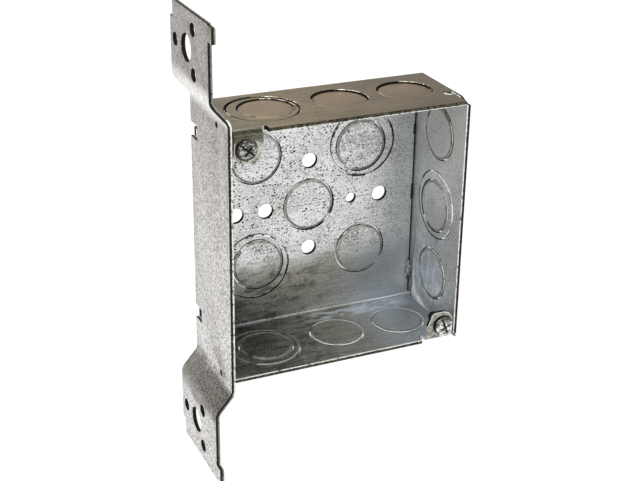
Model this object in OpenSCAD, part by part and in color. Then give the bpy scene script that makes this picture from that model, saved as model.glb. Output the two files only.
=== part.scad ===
// New work outlet box: a shallow open box of folded sheet with a stud bracket on its left side.
// The opening faces -Y, the outside of the back lies on Y = 0 and +Z is up, all in millimetres.
// X = 0 and Z = 0 run through the middle of the back.

/* [Box] */
// Width over both side panels
box_w = 98.4; // [96:0.2:106]
// Height over the top and bottom walls
box_h = 101.6; // [101:0.2:110]
// Depth from the rim to the outside of the back
box_d = 41.3; // [38:0.1:48]
// Sheet thickness
sheet = 1.6; // [1.2:0.1:1.8]
// Inside radius of the folds
fold_r = 1.4; // [1:0.1:1.8]

/* [Knock-outs] */
// Diameter of the small knock-outs
ko_small_d = 22.2; // [20:0.1:23]
// Diameter of the outer ring of the double knock-outs
ko_large_d = 28.6; // [27:0.1:30]
// Sheared gap round a knock-out
ko_gap = 0.35; // [0.2:0.05:0.4]
// How far a knock-out is pushed into the box
ko_step = 0.5; // [0.1:0.05:0.6]
// Width of the pressed slope along the edge of a knock-out disc
ko_slope_w = 1.1; // [0.4:0.1:1.4]
// Depth of that slope
ko_slope_h = 0.3; // [0.1:0.05:0.4]
// Width of the ties that hold a knock-out
tie_w = 2.6; // [1.6:0.1:3.6]
// Sideways distance of the corner knock-outs in the back from the middle
back_ko_x = 23.3; // [22:0.1:24.5]
// Upward distance of the corner knock-outs in the back from the middle
back_ko_z = 23.5; // [22:0.1:25]
// Distance from the back to the knock-outs in the top wall
top_ko_y = 20.2; // [18.5:0.1:21]
// Distance from the back to the knock-outs in the bottom wall
bottom_ko_y = 22.0; // [19:0.1:22.5]
// Distance from the back to the knock-outs in the side panel
side_ko_y = 21.5; // [19:0.1:22]
// Spacing of the knock-outs in the side panel
side_ko_pitch = 30.9; // [28:0.1:33]

/* [Holes in the back] */
// Diameter of the mounting holes
mount_hole_d = 6.4; // [5:0.1:7]
// Spacing of the upper and lower mounting holes
hole_pitch_z = 38.1; // [36:0.1:39]
// Spacing of the outer mounting holes
hole_pitch_x = 63.5; // [60:0.1:66]
// Diameter of the tapped hole for the ground screw
ground_hole_d = 4.2; // [3.8:0.1:5]
// Height of the hole pattern over the middle of the back
pattern_up = 0.5; // [0:0.1:1]

/* [Cover screws] */
// Distance of a screw from the side of the box
screw_in_x = 6.8; // [6.8:0.1:7.6]
// Distance of a screw from the top or bottom of the box
screw_in_z = 6.8; // [6.6:0.1:7.4]
// Outside diameter of the screw thread
screw_d = 4.1; // [3.4:0.1:4.2]
// Play between the thread and the ear, all round
screw_play = 0.05; // [0.02:0.01:0.2]
// Diameter of the screw head
head_d = 8.2; // [7.4:0.1:8.6]
// Height of the screw head
head_h = 2.6; // [2.2:0.1:3.2]
// Length of the screw under its head
screw_len = 9.6; // [7:0.1:12]

/* [Bracket] */
// Length of the bracket over both tips
bracket_len = 183.4; // [178:0.2:190]
// Width of the bracket from its front edge to its back edge
bracket_w = 40.6; // [37:0.1:48]
// How far the middle of the bracket lies under the middle of the box
bracket_drop = 0.9; // [0:0.1:1.5]
// Length of the flat part that forms the side of the box
side_len = 106.0; // [104.8:0.1:108]
// Sideways offset of the ears
ear_offset = 6.8; // [5:0.1:10]
// Angle of the two bends in each ear
ear_angle = 40; // [32:1:48]
// Inside radius of the bends in the ears
ear_bend_r = 3.6; // [2:0.1:4.5]
// Height of the shifted tip of each ear
tip_h = 6.4; // [4:0.1:8]
// How far a tip stands out in front
tip_out = 4.0; // [1:0.1:6]
// How far a tip is set in at the back
tip_in = 3.0; // [1:0.1:5]
// Diameter of the large hole in each ear
stud_hole_d = 10.4; // [8:0.1:11.2]
// Diameter of the nail holes in each ear
nail_hole_d = 5.0; // [3.5:0.1:5.6]
// Distance from the tip of an ear to its large hole
stud_hole_in = 14.3; // [13:0.1:15]
// Distance from the front edge of the bracket to the large holes
stud_hole_y = 23.0; // [21:0.1:24.5]
// Spacing of the upright pair of nail holes
nail_pitch = 16.4; // [15.4:0.1:16.8]
// Distance of the upright pair in front of the large hole
nail_fore = 7.3; // [7:0.1:10]
// Distance of the single nail hole behind the large hole
nail_aft = 12.2; // [9.5:0.1:13]

/* [Hidden] */

fine = 48;
rough = 32;
eps = 0.01;
steel = [0.70, 0.71, 0.72];
screw_steel = [0.50, 0.51, 0.52];

half_w = box_w / 2;
half_h = box_h / 2;
fold_out = fold_r + sheet;
rim_y = -box_d;
screw_x = half_w - screw_in_x;
screw_z = half_h - screw_in_z;
r_small = ko_small_d / 2;
r_large = ko_large_d / 2;

// places of the three knock-outs in the top and bottom walls, as shares of the width
wall_ko_x = [-0.2815 * box_w, 0.04 * box_w, 0.323 * box_w];

// ears of the cover screws, measured from the screw; "out" is towards the side of the box
ear_out = half_w - sheet - 0.6 - screw_x;
ear_back = 6.7;
ear_under = 5.9;
ear_skew = 1.8;
ear_round = min(ear_out, 4.8);
relief_w = 2.2;
relief_deep = 3.4;

// interlock between the top wall and the right panel near the rim
lock_back = 13.4;
lock_front = 6.7;
lock_play = 0.2;

// open seam between the back and the right panel, and the wider places beside its welds,
// as height of the middle and length
seam_wide = 0.4;
seam_deep = 0.5;
weld_wide = 0.8;
weld_deep = 0.9;
weld_gaps = [[-37.0, 9.5], [-1.0, 6.8], [26.8, 4.2]];
left_slot_z = 38.9;
left_slot_up = 0.8;
left_slot_h = 5.8;
left_slot_deep = 7.0;

// prick marks on the outside of the bracket
mark_y = 11.8;
mark_in = 1.8;
mark_d = 2.2;
mark_deep = 0.6;

// turns the XY plane of a knock-out on to a wall; Z runs through the sheet from its lower face
module on_top(x, y) translate([x, -y, half_h - sheet]) children();
module on_bottom(x, y) translate([x, -y, -half_h]) children();
module on_back(x, z) translate([x, 0, z + pattern_up]) rotate([90, 0, 0]) children();
module on_right(y, z) translate([half_w - sheet, -y, z + pattern_up]) rotate([0, 90, 0]) children();

module through(r) {
    translate([0, 0, -1]) cylinder(h = sheet + 2, r = r, $fn = fine);
}

// small bridges left uncut across a sheared ring
module ties(r, angles) {
    for (a = angles)
        rotate([0, 0, a])
            translate([r - ko_gap - 0.9, -tie_w / 2, sheet * 0.3])
                cube([ko_gap + 1.8, tie_w, sheet * 0.4]);
}

// disc of the sheet with a pressed slope along both of its edges
module pressed_disc(r, slope_w) {
    rotate_extrude($fn = fine)
        polygon([
            [0, 0], [r - slope_w, 0], [r, ko_slope_h], [r, sheet - ko_slope_h], [r - slope_w, sheet], [0, sheet]
        ]);
}

module single_disc(angles, step) {
    translate([0, 0, step]) pressed_disc(r_small - ko_gap, ko_slope_w);
    ties(r_small, angles);
}

// ring and disc of a double knock-out; the small one sits off centre in the large one
module double_disc(shift, outer_ties, inner_ties, step) {
    difference() {
        translate([0, 0, step]) pressed_disc(r_large - ko_gap, ko_slope_w / 2);
        translate([shift[0], shift[1], -2]) cylinder(h = sheet + 4, r = r_small, $fn = fine);
    }
    ties(r_large, outer_ties);
    translate([shift[0], shift[1], 0]) single_disc(inner_ties, 2 * step);
}

// the outline of a cover ear; +X is outward, +Y is towards the fold, 0, 0 is the screw
module ear_blank() {
    top = half_h - fold_out - screw_z;
    linear_extrude(sheet)
        polygon([
            [ear_out, top], [-ear_back, top], [-ear_back, -0.4], [-ear_back + ear_skew, 0.7 - ear_under],
            [1.3 - ear_back + ear_skew, -ear_under], [0, -ear_under], [0, ear_round - ear_under],
            [ear_out, ear_round - ear_under]
        ]);
    translate([ear_out - ear_round, ear_round - ear_under, 0])
        cylinder(h = sheet, r = ear_round, $fn = rough);
}

// one cover ear with its fold, for the upper left corner
module cover_ear() {
    ear_len = ear_out + ear_back;
    difference() {
        translate([-screw_x, rim_y + sheet, screw_z])
            rotate([90, 0, 0])
                mirror([1, 0, 0])
                    ear_blank();
        translate([-screw_x, rim_y - 1, screw_z])
            rotate([-90, 0, 0])
                cylinder(h = sheet + 2, d = screw_d + 2 * screw_play, $fn = fine);
    }
    translate([-screw_x - ear_out, rim_y + fold_out, half_h - fold_out])
        rotate([0, 90, 0])
            rotate([0, 0, 180])
                rotate_extrude(angle = 90, $fn = fine)
                    translate([fold_r, 0])
                        square([sheet, ear_len]);
}

// the room cut out of a wall's front edge for an ear and the relief beside it
module ear_room() {
    ear_len = ear_out + ear_back;
    translate([-half_w + sheet - 1, rim_y - 1, half_h - sheet - 1])
        cube([half_w - sheet - screw_x + ear_back + 1, fold_out + 1, sheet + 2]);
    translate([-screw_x + ear_back - eps, rim_y - 1, half_h - sheet - 1])
        cube([relief_w, relief_deep - relief_w / 2 + 1, sheet + 2]);
    translate([-screw_x + ear_back + relief_w / 2, rim_y + relief_deep - relief_w / 2, half_h - sheet - 1])
        cylinder(h = sheet + 2, d = relief_w, $fn = rough);
}

module quarter_fold(len) {
    rotate_extrude(angle = 90, $fn = fine)
        translate([fold_r, 0])
            square([sheet, len]);
}

// top wall, back and bottom wall, folded from one strip
module channel_sheet() {
    left = -half_w + sheet;
    len = box_w - sheet;
    translate([left, rim_y, half_h - sheet]) cube([len, box_d - fold_out, sheet]);
    translate([left, rim_y, -half_h]) cube([len, box_d - fold_out, sheet]);
    translate([left, -sheet, -half_h + fold_out]) cube([len, sheet, box_h - 2 * fold_out]);
    translate([left, -fold_out, half_h - fold_out]) rotate([90, 0, 90]) quarter_fold(len);
    translate([left, -fold_out, -half_h + fold_out]) rotate([0, 90, 0]) quarter_fold(len);
}

module body_channel() {
    color(steel) {
        difference() {
            channel_sheet();
            ear_room();
            rotate([0, 180, 0]) ear_room();
            // knock-outs of the back
            on_back(-back_ko_x, back_ko_z) through(r_small);
            on_back(back_ko_x, back_ko_z) through(r_large);
            on_back(-0.2, 0) through(r_small);
            on_back(-back_ko_x, -back_ko_z) through(r_large);
            on_back(back_ko_x, -back_ko_z) through(r_small);
            // knock-outs of the top and bottom walls
            on_top(wall_ko_x[0], top_ko_y) through(r_large);
            on_top(wall_ko_x[1], top_ko_y) through(r_small);
            on_top(wall_ko_x[2], top_ko_y) through(r_small);
            on_bottom(wall_ko_x[0], bottom_ko_y) through(r_large);
            on_bottom(wall_ko_x[1], bottom_ko_y) through(r_small);
            on_bottom(wall_ko_x[2], bottom_ko_y) through(r_small);
            // mounting holes and the tapped hole for the ground screw
            for (s = [-1, 1]) on_back(0, s * hole_pitch_z / 2) through(mount_hole_d / 2);
            for (s = [-1, 1]) on_back(s * hole_pitch_x / 2, 0) through(mount_hole_d / 2);
            on_back(-hole_pitch_z / 2, 0) through(mount_hole_d / 2);
            on_back(18.7, 0) through(ground_hole_d / 2);
            // the edge beside the raised lock of the right panel, with its round relief
            translate([half_w - sheet - lock_play, rim_y - 1, half_h - sheet - 1])
                cube([sheet + 1, lock_back + 1, sheet + 2]);
            translate([half_w - sheet - lock_play, rim_y + lock_back - 1.6, half_h - sheet - 1])
                cylinder(h = sheet + 2, r = 1.6, $fn = rough);
            // open seam along the right panel
            translate([half_w - sheet - seam_wide, -sheet - 1, -half_h + fold_out])
                cube([seam_wide, 1 + seam_deep, box_h - 2 * fold_out]);
            for (gap = weld_gaps)
                translate([half_w - sheet - weld_wide, -sheet - 1, gap[0] - gap[1] / 2])
                    cube([weld_wide, 1 + weld_deep, gap[1]]);
            // ends of the slots in the bracket
            for (s = [-1, 1])
                translate([-half_w + sheet - 1, -sheet - 1, left_slot_up + s * left_slot_z + 0.2])
                    cube([3.2, sheet + 2, left_slot_h / 2 - 0.2]);
        }
        on_back(-back_ko_x, back_ko_z) single_disc([150], ko_step);
        on_back(back_ko_x, back_ko_z) double_disc([-0.8, -0.9], [-75, 120], [62, 240], ko_step / 2);
        on_back(-0.2, 0) single_disc([-40], 0);
        on_back(-back_ko_x, -back_ko_z) double_disc([0.7, 0.8], [20, 200], [-130, 128], ko_step / 2);
        on_back(back_ko_x, -back_ko_z)
            difference() {
                single_disc([-38], ko_step);
                translate([-1.2, -0.7, sheet + ko_step - mark_deep]) cylinder(h = 1, d = 1.5, $fn = 24);
            }
        on_top(wall_ko_x[0], top_ko_y) double_disc([1.7, 0.6], [-100, 80], [-140, -15], -ko_step / 2);
        on_top(wall_ko_x[1], top_ko_y) single_disc([165], -ko_step);
        on_top(wall_ko_x[2], top_ko_y) single_disc([-12], -ko_step);
        on_bottom(wall_ko_x[0], bottom_ko_y) double_disc([0.7, 0.5], [-132, 40], [60, 210], ko_step / 2);
        on_bottom(wall_ko_x[1], bottom_ko_y) single_disc([140], ko_step);
        on_bottom(wall_ko_x[2], bottom_ko_y) single_disc([155], ko_step);
        cover_ear();
        rotate([0, 180, 0]) cover_ear();
    }
}

// flat panel let in between the folded walls; its corners clear the folds
module right_panel() {
    bottom = -half_h + sheet;
    top = half_h - sheet;
    clear_r = fold_r + 0.4;
    color(steel) {
        difference() {
            union() {
                translate([half_w - sheet, rim_y, bottom])
                    cube([sheet, box_d - sheet - clear_r, top - bottom]);
                translate([half_w - sheet, -sheet - clear_r - eps, bottom + clear_r])
                    cube([sheet, clear_r + eps, top - bottom - 2 * clear_r]);
                for (z = [bottom + clear_r, top - clear_r])
                    translate([half_w - sheet, -sheet - clear_r, z])
                        rotate([0, 90, 0])
                            cylinder(h = sheet, r = clear_r, $fn = rough);
                // raised lock that fills the cut in the edge of the top wall
                translate([half_w, rim_y, top - eps])
                    rotate([0, -90, 0])
                        linear_extrude(sheet)
                            polygon([
                                [0, 2.6], [sheet + eps, lock_front], [sheet + eps, lock_back - 0.4],
                                [0, lock_back - 0.4]
                            ]);
            }
            on_right(side_ko_y, side_ko_pitch) through(r_small);
            on_right(side_ko_y, 0) through(r_large);
            on_right(side_ko_y, -side_ko_pitch) through(r_small);
        }
        on_right(side_ko_y, side_ko_pitch) single_disc([100], -ko_step);
        on_right(side_ko_y, 0) double_disc([0.6, 0.5], [111, -70], [-144, -120, 40], -ko_step / 2);
        on_right(side_ko_y, -side_ko_pitch) single_disc([75], -ko_step);
    }
}

// lengths of the two bends and the slanted part of an ear, along the sheet and upward
ear_mid_r = ear_bend_r + sheet / 2;
slant = (ear_offset - 2 * ear_mid_r * (1 - cos(ear_angle))) / sin(ear_angle);
jog_h = 2 * ear_mid_r * sin(ear_angle) + slant * cos(ear_angle);
flat_h = bracket_len / 2 - side_len / 2 - jog_h;

// first bend of an ear and a little over half of its slanted part, with +X outward and +Y upward
module half_jog() {
    intersection() {
        translate([ear_bend_r, 0])
            difference() {
                circle(r = ear_bend_r + sheet, $fn = 96);
                circle(r = ear_bend_r, $fn = 96);
            }
        polygon([
            [ear_bend_r, 0], [ear_bend_r - 20, 0],
            [ear_bend_r - 20 * cos(ear_angle), 20 * sin(ear_angle)]
        ]);
    }
    translate([ear_bend_r, 0])
        rotate(-ear_angle)
            translate([-ear_bend_r - sheet, 0])
                square([sheet, slant * 0.6]);
}

// edge of the bracket's sheet, from its middle up to the end of the upper ear
module half_bracket_outline() {
    translate([-sheet, 0]) square([sheet, side_len / 2]);
    translate([0, side_len / 2]) {
        half_jog();
        translate([ear_offset - sheet, jog_h]) rotate(180) half_jog();
        translate([ear_offset - sheet, jog_h]) square([sheet, flat_h]);
    }
}

// upper half of the bracket with the holes and the shifted tip of its ear
module half_bracket() {
    ear_x = -half_w - ear_offset;
    end_z = bracket_len / 2;
    hole_z = end_z - stud_hole_in;
    difference() {
        translate([-half_w, rim_y + bracket_w, 0])
            rotate([90, 0, 0])
                mirror([1, 0, 0])
                    linear_extrude(bracket_w)
                        half_bracket_outline();
        // the tip is set in at the back
        translate([ear_x - 1, rim_y + bracket_w - tip_in, end_z - tip_h])
            cube([sheet + 2, tip_in + 1, tip_h + 1]);
        translate([ear_x - 1, rim_y + stud_hole_y, hole_z])
            rotate([0, 90, 0])
                cylinder(h = sheet + 2, d = stud_hole_d, $fn = fine);
        translate([ear_x - 1, rim_y + stud_hole_y + nail_aft, hole_z])
            rotate([0, 90, 0])
                cylinder(h = sheet + 2, d = nail_hole_d, $fn = rough);
        for (s = [-1, 1])
            translate([ear_x - 1, rim_y + stud_hole_y - nail_fore, hole_z + s * nail_pitch / 2])
                rotate([0, 90, 0])
                    cylinder(h = sheet + 2, d = nail_hole_d, $fn = rough);
        // prick mark of the press
        translate([-half_w - 1, rim_y + mark_y, side_len / 2 - mark_in])
            rotate([0, 90, 0])
                cylinder(h = 1 + mark_deep, d = mark_d, $fn = 24);
    }
    // and stands out in front
    translate([ear_x, rim_y - tip_out, end_z - tip_h])
        cube([sheet, tip_out + 2, tip_h - 0.5]);
}

module stud_bracket_panel() {
    color(steel)
        difference() {
            translate([0, 0, -bracket_drop]) {
                half_bracket();
                mirror([0, 0, 1]) half_bracket();
            }
            // slots in the back edge, where the welds show
            for (s = [-1, 1])
                translate([-half_w - 1, rim_y + bracket_w - left_slot_deep,
                           left_slot_up + s * left_slot_z - left_slot_h / 2])
                    cube([sheet + 2, left_slot_deep + 1, left_slot_h]);
        }
}

// round headed machine screw with a slot and a cross recess; the head rests on the ear
module cover_screw() {
    edge = head_h * 0.35;
    color(screw_steel)
        difference() {
            rotate([90, 0, 0])
                rotate_extrude($fn = fine)
                    polygon([
                        [0, -screw_len], [screw_d / 2 - 0.5, -screw_len], [screw_d / 2, -screw_len + 0.5],
                        [screw_d / 2, 0], [head_d / 2, 0], [head_d / 2, edge], [head_d * 0.46, head_h * 0.6],
                        [head_d * 0.37, head_h * 0.82], [head_d * 0.24, head_h * 0.95], [0, head_h]
                    ]);
            rotate([0, 40, 0]) translate([-head_d, -head_h - 1, -0.6]) cube([2 * head_d, 2.1, 1.2]);
            rotate([0, 130, 0]) translate([-2.3, -head_h - 1, -0.6]) cube([4.6, 2.7, 1.2]);
            rotate([0, 40, 0]) translate([-2.3, -head_h - 1, -0.6]) cube([4.6, 2.7, 1.2]);
        }
}

module upper_cover_screw() {
    translate([-screw_x, rim_y, screw_z]) cover_screw();
}

module lower_cover_screw() {
    translate([screw_x, rim_y, -screw_z]) rotate([0, 28, 0]) cover_screw();
}

body_channel();
right_panel();
stud_bracket_panel();
upper_cover_screw();
lower_cover_screw();
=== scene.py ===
import math
import random

import bpy
from mathutils import Matrix, Vector


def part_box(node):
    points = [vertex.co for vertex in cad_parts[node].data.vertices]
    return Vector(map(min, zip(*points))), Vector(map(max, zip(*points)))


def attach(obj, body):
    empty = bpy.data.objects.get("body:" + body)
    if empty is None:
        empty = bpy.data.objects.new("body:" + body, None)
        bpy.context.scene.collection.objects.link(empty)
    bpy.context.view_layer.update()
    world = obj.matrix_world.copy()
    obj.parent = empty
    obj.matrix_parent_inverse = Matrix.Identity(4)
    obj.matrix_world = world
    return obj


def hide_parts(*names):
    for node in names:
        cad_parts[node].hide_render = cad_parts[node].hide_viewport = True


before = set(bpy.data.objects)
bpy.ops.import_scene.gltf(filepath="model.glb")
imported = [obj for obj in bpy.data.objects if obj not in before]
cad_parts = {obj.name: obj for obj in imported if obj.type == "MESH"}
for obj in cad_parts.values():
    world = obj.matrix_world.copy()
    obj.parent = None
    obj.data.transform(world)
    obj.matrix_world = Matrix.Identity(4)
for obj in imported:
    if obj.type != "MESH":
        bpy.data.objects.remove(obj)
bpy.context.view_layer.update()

mm = 0.001

# outline of the folded box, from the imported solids
channelLow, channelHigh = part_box("body_channel")
bracketLow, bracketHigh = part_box("stud_bracket_panel")
sheetThick = 1.6 * mm
foldRadius = 1.4 * mm
halfTall = channelHigh.z
rimY = channelLow.y
sideX = -channelHigh.x
bracketMid = (bracketLow.z + bracketHigh.z) / 2
print("frame loaded")


# camera at the photo's angle
view = {
    "lens": 73.12,
    "place": (-0.19826, -0.44568, 0.20637),
    "right": (0.91178861, -0.41040865, 0.01436246),
    "up": (0.15850238, 0.38397173, 0.90963878),
    "back": (-0.3788384, -0.82712179, 0.41515179),
}


def addCamera(v):
    cam = bpy.data.cameras.new("viewCamera")
    cam.lens = v["lens"]
    cam.sensor_width = 36
    cam.clip_start = 0.01
    cam.clip_end = 50
    obj = bpy.data.objects.new("viewCamera", cam)
    bpy.context.scene.collection.objects.link(obj)
    turn = Matrix((v["right"], v["up"], v["back"])).transposed().to_4x4()
    obj.matrix_world = Matrix.Translation(Vector(v["place"])) @ turn
    bpy.context.scene.camera = obj


addCamera(view)


# shader maths as Python expressions: Socket wraps an output, Graph makes the nodes
class Socket:
    def __init__(self, graph, link):
        self.graph, self.link = graph, link

    def __getitem__(self, name):
        return Socket(self.graph, self.link.node.outputs[name])

    def maths(self, operation, a, b=0.0):
        return self.graph.make("ShaderNodeMath", {"operation": operation}, {0: a, 1: b})

    def __add__(self, other):
        return self.maths("ADD", self, other)

    __radd__ = __add__

    def __mul__(self, other):
        return self.maths("MULTIPLY", self, other)

    __rmul__ = __mul__

    def __sub__(self, other):
        return self.maths("SUBTRACT", self, other)

    def __rsub__(self, other):
        return self.maths("SUBTRACT", other, self)

    def __truediv__(self, other):
        return self.maths("DIVIDE", self, other)

    def __pow__(self, other):
        return self.maths("POWER", self, other)

    def __abs__(self):
        return self.maths("ABSOLUTE", self)

    def __gt__(self, other):
        return self.maths("GREATER_THAN", self, other)

    def __lt__(self, other):
        return self.maths("LESS_THAN", self, other)


class Graph:
    def __init__(self, owner):
        owner.use_nodes = True
        self.tree = owner.node_tree
        self.tree.nodes.clear()

    def make(self, kind, settings=None, values=None, out=0):
        node = self.tree.nodes.new(kind)
        for name, value in (settings or {}).items():
            setattr(node, name, value)
        for name, value in (values or {}).items():
            if isinstance(value, Socket):
                self.tree.links.new(value.link, node.inputs[name])
            elif isinstance(value, tuple) and len(value) == 3 and node.inputs[name].type == "RGBA":
                node.inputs[name].default_value = (*value, 1)
            else:
                node.inputs[name].default_value = value
        return Socket(self, node.outputs[out]) if len(node.outputs) else None

    def place(self, scale=(1, 1, 1), shift=(0, 0, 0)):
        coords = self.make("ShaderNodeTexCoord", out="Object")
        return self.make("ShaderNodeMapping", None, {"Vector": coords, "Scale": scale, "Location": shift})

    def noise(self, where, size, detail, rough):
        return self.make("ShaderNodeTexNoise", None,
                         {"Vector": where, "Scale": 1 / size, "Detail": detail, "Roughness": rough})

    def cells(self, where, size):
        return self.make("ShaderNodeTexVoronoi", None, {"Vector": where, "Scale": 1 / size}, "Distance")

    def band(self, value, low, high):
        return self.make("ShaderNodeMapRange", {"clamp": True, "interpolation_type": "SMOOTHSTEP"},
                         {"Value": value, "From Min": low, "From Max": high, "To Min": 0.0, "To Max": 1.0})

    def mix(self, share, a, b, blend="MIX"):
        node = self.make("ShaderNodeMix", {"data_type": "RGBA", "blend_type": blend}, None).link.node
        for index, value in ((0, share), (6, a), (7, b)):
            if isinstance(value, Socket):
                self.tree.links.new(value.link, node.inputs[index])
            elif isinstance(value, tuple):
                node.inputs[index].default_value = (*value, 1)
            else:
                node.inputs[index].default_value = value
        return Socket(self, node.outputs[2])

    def most(self, a, b):
        return self.make("ShaderNodeMath", {"operation": "MAXIMUM", "use_clamp": True}, {0: a, 1: b})

    def bump(self, height, strength, distance):
        return self.make("ShaderNodeBump", None,
                         {"Height": height, "Strength": strength, "Distance": distance})

    def finish(self, **values):
        named = {name.replace("_", " "): value for name, value in values.items()}
        surface = self.make("ShaderNodeBsdfPrincipled", None, named)
        self.make("ShaderNodeOutputMaterial", None, {"Surface": surface})


# look of the rolled and coated sheet; each kind of speck has its spacing, its size and a shift
sheetFinish = {
    "pale": (0.84, 0.845, 0.85),
    "dark": (0.27, 0.27, 0.265),
    "speck": (0.035, 0.034, 0.030),
    "metal": 0.75,
    "rough": 0.22,
    "grain": 0.38 * mm,
    "streakLength": 20 * mm,
    "streakWidth": 0.8 * mm,
    "cloud": 15 * mm,
    "shares": (0.22, 0.16, 0.62),
    "tone": (0.39, 0.57),
    "specks": 1.0,
    "small": (1.15 * mm, 0.30, (0, 0, 0)),
    "large": (2.3 * mm, 0.16, (0.013, 0.007, 0.003)),
    "dashes": (0.85 * mm, 0.20, (0.004, 0.009, 0.006)),
}


def speckle(g, kind, stretch, soft):
    every, size, shift = kind
    return g.band(size - g.cells(g.place(scale=stretch, shift=shift), every), 0.0, soft)


def galvanised(name, s, along, tint=None, bare=None):
    # rolled zinc coat: clouds, rolling streaks along one axis, mottled grain and dark specks
    mat = bpy.data.materials.new(name)
    g = Graph(mat)
    flat = g.place()
    stretch = tuple(s["streakWidth"] / s["streakLength"] if a == along else 1.0 for a in "xyz")
    drawn = tuple(0.7 if a == along else 1.0 for a in "xyz")
    dashed = tuple(0.2 if a == along else 1.0 for a in "xyz")
    streaks = g.noise(g.place(scale=stretch), s["streakWidth"], 3.0, 0.65)
    clouds = g.noise(flat, s["cloud"], 3.0, 0.6)
    grain = g.noise(g.place(scale=drawn), s["grain"], 2.0, 0.7)
    cloudy, streaky, grainy = s["shares"]
    tone = g.band(clouds * cloudy + streaks * streaky + grain * grainy, *s["tone"])
    colour = g.mix(tone, s["dark"], s["pale"])
    if tint:
        colour = tint(g, colour, g.band(grain * 0.6 + streaks * 0.4, 0.38, 0.62))
    crowd = g.band(g.noise(flat, 6 * mm, 2.0, 0.7), 0.37, 0.58)
    rows = g.band(g.noise(g.place(scale=stretch), 1.6 * mm, 2.0, 0.5), 0.50, 0.58)
    small = speckle(g, s["small"], drawn, 0.04) * crowd
    large = speckle(g, s["large"], drawn, 0.02)
    dashes = speckle(g, s["dashes"], dashed, 0.08) * rows
    specks = g.most(g.most(small, large), dashes * 0.85) * s["specks"]
    if bare:
        specks = specks * (1.0 - bare(g))
    colour = g.mix(specks, colour, s["speck"])
    rough = s["rough"] + 0.10 * clouds + 0.14 * grain + 0.2 * specks
    height = 0.4 * streaks + 0.8 * grain
    g.finish(Base_Color=colour, Metallic=s["metal"], Roughness=rough,
             Normal=g.bump(height, 0.5, 0.07 * mm))
    return mat


def axisOf(g, name):
    return g.make("ShaderNodeSeparateXYZ", None, {"Vector": g.place()}, name)


def waveOf(g, size, reach):
    # pushes the border of a film to and fro
    return (g.noise(g.place(), size, 3.0, 0.6) - 0.5) * reach


def distance(aside, above):
    return (aside * aside + above * above) ** 0.5


# the films, and the painted light and shade, follow the place on the box; a pair is the range over which
# one comes in
film = {"cool": (0.36, 0.40, 0.43), "sheen": (0.76, 0.84, 0.94), "dirt": (0.02, 0.019, 0.016)}
# the back lies behind the first of these, the top wall above the second
backFrom = -2 * mm
topFrom = halfTall - 3 * mm

# painted shade low in the box and a painted sheen on the bottom wall
lowShading = {
    "dull": (0.215, 0.208, 0.165), "corner": (0.016, 0.015, 0.010),
    "blotch": (0.035, 0.033, 0.024), "scuff": (0.55, 0.55, 0.50),
    "low": (-17 * mm, -29 * mm), "cooler": (8 * mm, 32 * mm), "left": (22 * mm, -8 * mm),
    "foot": (-30 * mm, -44 * mm), "farLeft": (10 * mm, -26 * mm), "side": (26 * mm, 44 * mm),
    "discX": -23.3 * mm, "discZ": -23 * mm, "discEdge": (10.8 * mm, 9.6 * mm),
    "offBack": -3.2 * mm, "sheenOff": -2.6 * mm, "onBottom": -46 * mm,
    "sheenDeep": (-14 * mm, -7 * mm), "sheenAcross": (-8 * mm, 6 * mm),
    "cover": 0.96, "blotchCover": 0.6, "scuffCover": 0.25, "sheenCover": 0.85, "sideCover": 0.40,
}


def shadeLowInBox(g, s, colour, tone, up, across, deep):
    # painted shade low in the box, darkest at the far left and low down, with dark and pale blotches to
    # the left, cooler to the right; a painted sheen on the bottom wall; one disc on the back stays bright
    wave = waveOf(g, 14 * mm, 14 * mm)
    disc = g.band(distance(across - s["discX"], up - s["discZ"]), *s["discEdge"]) * (deep > backFrom)
    inner = (deep < -sheetThick / 2) * (abs(up) < halfTall - sheetThick / 2)
    low = g.band(up + wave * 0.6, *s["low"]) * (1.0 - disc * 0.9) * inner
    dull = g.mix(g.band(across + wave, *s["cooler"]), s["dull"], film["cool"])
    # painted shade at its darkest at the far left, on the bottom wall and at the foot of the back
    foot = g.most(g.band(up + wave * 0.3, *s["foot"]) * 0.9, deep < s["offBack"])
    dull = g.mix(g.band(across + wave, *s["farLeft"]) * foot, dull, s["corner"])
    colour = g.mix(low * s["cover"], colour, g.mix(tone * 0.30, dull, colour))
    drift = g.noise(g.place(scale=(0.4, 1, 1)), 3 * mm, 3.0, 0.6)
    left = low * g.band(across + wave, *s["left"])
    colour = g.mix(left * g.band(drift, 0.50, 0.36) * s["blotchCover"], colour, s["blotch"])
    colour = g.mix(left * g.band(drift, 0.56, 0.68) * s["scuffCover"], colour, s["scuff"])
    # painted sheen on the bottom wall near its fold
    shine = g.band(drift, 0.40, 0.58) * g.band(deep, *s["sheenDeep"]) * g.band(across, *s["sheenAcross"])
    shine = shine * (up < s["onBottom"]) * (deep < s["sheenOff"])
    colour = g.mix(shine * s["sheenCover"], colour, film["sheen"])
    return g.mix(g.band(across + wave, *s["side"]) * s["sideCover"], colour, film["cool"])


# the folded ears: the upper one painted in shade, the lower one's tip painted as a highlight
earTones = {
    "fromSide": 14 * mm, "fromTop": 13 * mm, "fromRim": 2.2 * mm, "cover": 0.9,
    "upperPale": (0.46, 0.45, 0.41), "upperDark": (0.10, 0.096, 0.075),
    "lowerPale": (0.80, 0.79, 0.76), "lowerDark": (0.13, 0.125, 0.095),
    "olive": (0.36, 0.35, 0.29), "oliveFrom": (-69 * mm, -65 * mm),
}


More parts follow.
